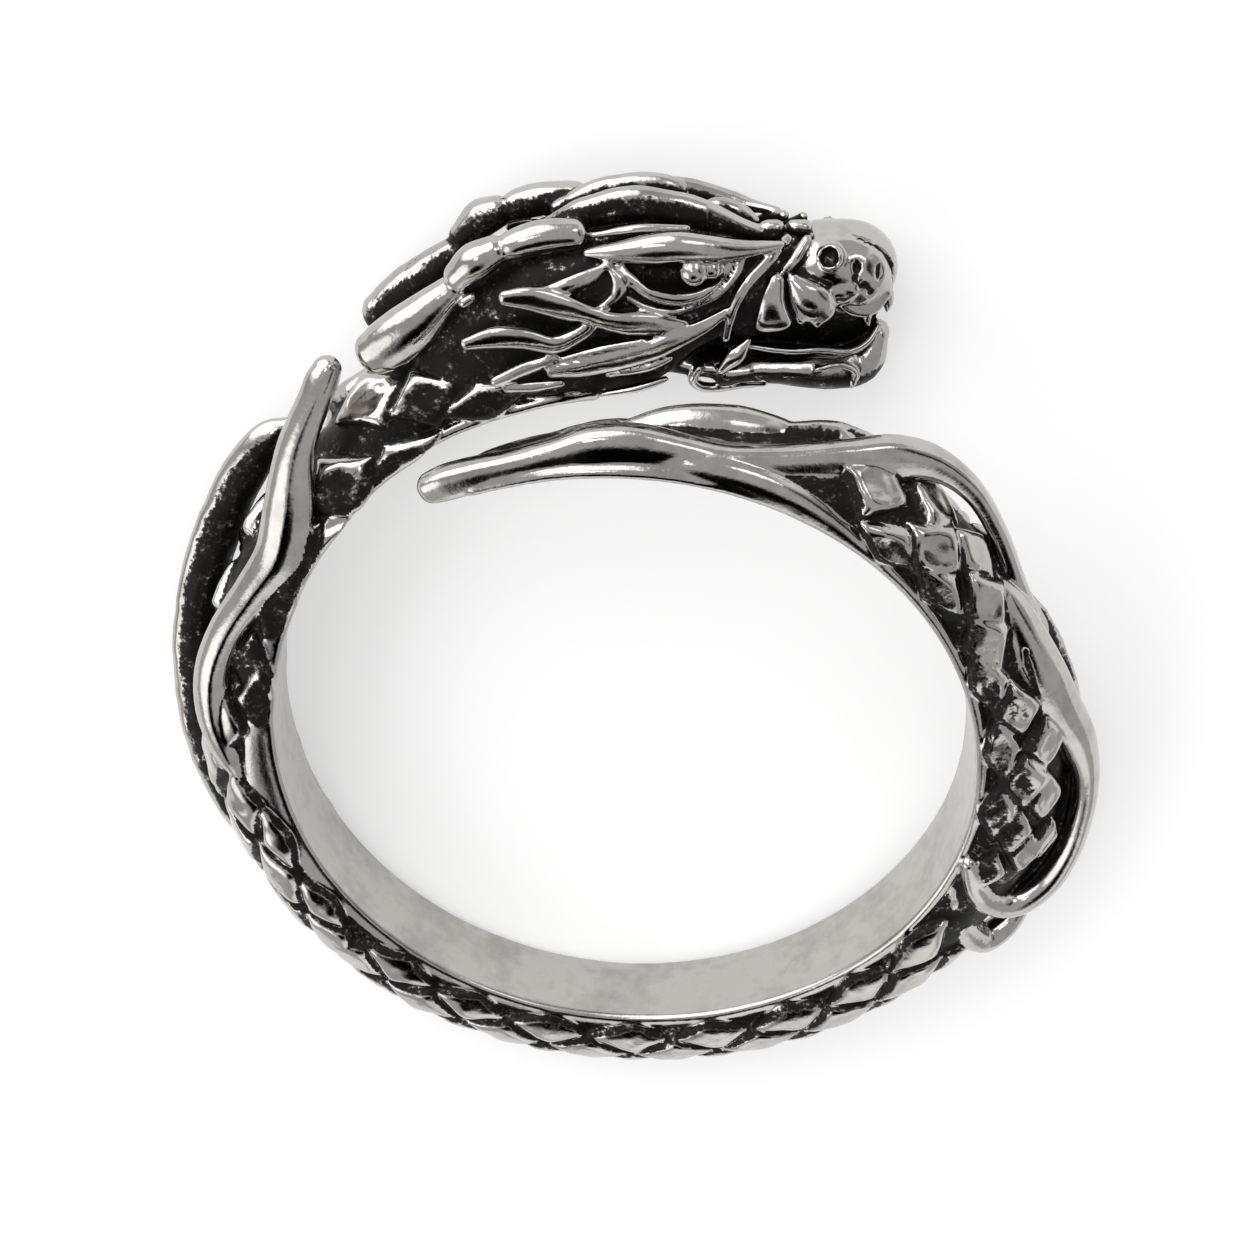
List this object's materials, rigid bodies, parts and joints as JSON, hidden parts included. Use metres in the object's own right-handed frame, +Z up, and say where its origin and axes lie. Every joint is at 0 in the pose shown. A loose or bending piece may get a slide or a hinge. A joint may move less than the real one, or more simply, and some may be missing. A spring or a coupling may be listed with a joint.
{
  "type": "dragon ring",
  "caption": "Bypass finger ring cast as a horned dragon whose scaled body wraps round the finger, the tail passing in front of the head.",
  "frame": {"origin": "middle of the bounding box at the table the ring lies on", "axes": "+Z up out of the table, nearly along the finger hole, +Y towards the dragon's head, +X the way the head points"},
  "size_m": [0.0258, 0.027, 0.0075],
  "materials": {
    "oxidised_silver": "cast sterling silver, blackened in the recesses and polished on the high parts"
  },
  "bodies": {
    "root": {"dragon_ring": "oxidised_silver"}
  },
  "joints": []
}
